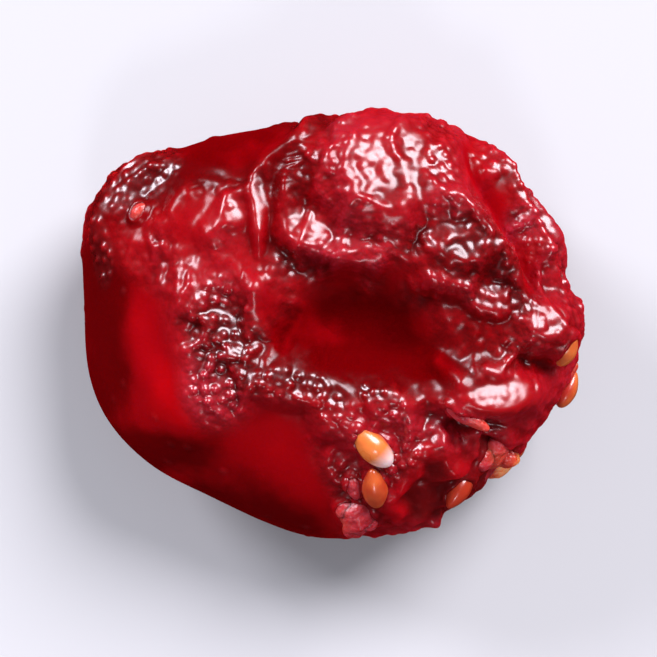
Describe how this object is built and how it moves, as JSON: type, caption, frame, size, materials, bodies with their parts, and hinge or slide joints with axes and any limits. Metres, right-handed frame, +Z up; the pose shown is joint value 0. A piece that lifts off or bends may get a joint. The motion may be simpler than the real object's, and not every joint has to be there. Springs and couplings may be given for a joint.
{
  "type": "dried cranberry",
  "caption": "Dried cranberry, a flat, folded, leathery berry with a sunken wrinkled top, a torn end and small seeds stuck to it.",
  "frame": {"origin": "middle of the base: centre of the berry's box in plan, at the height of the flat spot that it lies on", "axes": "+Z up, away from the flat spot; +X along the berry's length, towards the side with the long fold; +Y across it, towards the puffed lobe"},
  "size_m": [0.0196, 0.0166, 0.0094],
  "materials": {
    "flesh": "dark red, translucent and sticky, with a glossy film of syrup over fine wrinkles",
    "seed": "smooth orange-brown seed coat under a thin glossy film",
    "pulp": "torn, wet-looking pulp and skin edges, paler and pinker than the skin"
  },
  "bodies": {
    "root": {"dried_cranberry": "flesh"}
  },
  "joints": []
}
